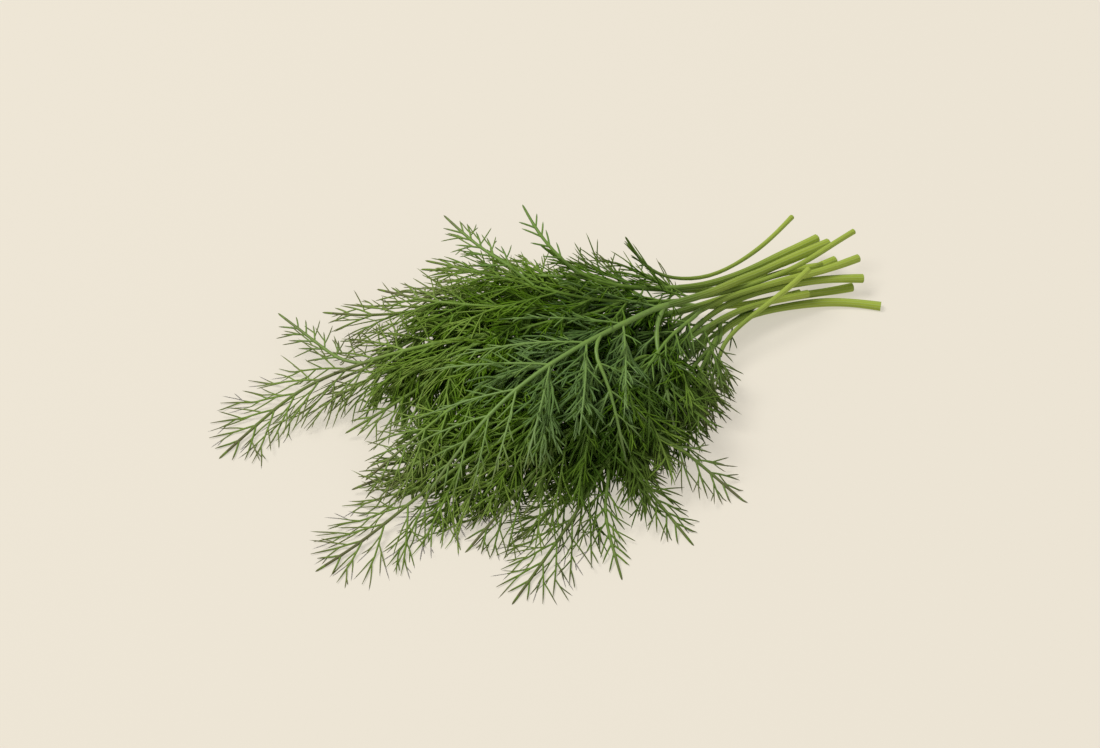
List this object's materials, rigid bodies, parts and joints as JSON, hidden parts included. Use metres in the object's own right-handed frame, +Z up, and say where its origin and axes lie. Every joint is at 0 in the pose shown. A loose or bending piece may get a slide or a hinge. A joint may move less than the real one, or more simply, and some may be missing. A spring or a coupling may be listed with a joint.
{
  "type": "dill bunch",
  "caption": "Loose bunch of fresh dill lying on its side: round green stalks cut at one end, and feathery leaves of forked threads at the other.",
  "frame": {"origin": "middle of the bunch's box, on the surface that it lies on", "axes": "+X along the bare stalks towards their cut ends, +Z up, +Y to the far side"},
  "size_m": [0.2544, 0.1624, 0.059],
  "materials": {
    "stalk": "smooth, finely ridged, faint waxy bloom",
    "leaf": "matt, blue-green bloom"
  },
  "bodies": {
    "root": {"leaf_01": "leaf", "leaf_02": "leaf", "leaf_02b": "leaf", "leaf_02c": "leaf", "leaf_03": "leaf", "leaf_03b": "leaf", "leaf_03c": "leaf", "leaf_04": "leaf", "leaf_04b": "leaf", "leaf_04c": "leaf", "leaf_04d": "leaf", "leaf_05": "leaf", "leaf_05b": "leaf", "leaf_05c": "leaf", "leaf_05d": "leaf", "leaf_05e": "leaf", "leaf_06": "leaf", "leaf_06b": "leaf", "leaf_06c": "leaf", "leaf_06d": "leaf", "leaf_06e": "leaf", "leaf_07": "leaf", "leaf_07b": "leaf", "leaf_07c": "leaf", "leaf_07d": "leaf", "leaf_08": "leaf", "leaf_08b": "leaf", "leaf_08c": "leaf", "leaf_08d": "leaf", "leaf_09": "leaf", "leaf_09b": "leaf", "leaf_10": "leaf", "leaf_11": "leaf", "leaf_11b": "leaf", "leaf_11c": "leaf", "leaf_11d": "leaf", "leaf_12": "leaf", "leaf_12b": "leaf", "leaf_12c": "leaf", "leaf_13": "leaf", "leaf_13b": "leaf", "stalk_01": "stalk", "stalk_02": "stalk", "stalk_03": "stalk", "stalk_04": "stalk", "stalk_05": "stalk", "stalk_06": "stalk", "stalk_07": "stalk", "stalk_08": "stalk", "stalk_09": "stalk", "stalk_10": "stalk", "stalk_11": "stalk", "stalk_12": "stalk", "stalk_13": "stalk"}
  },
  "joints": []
}
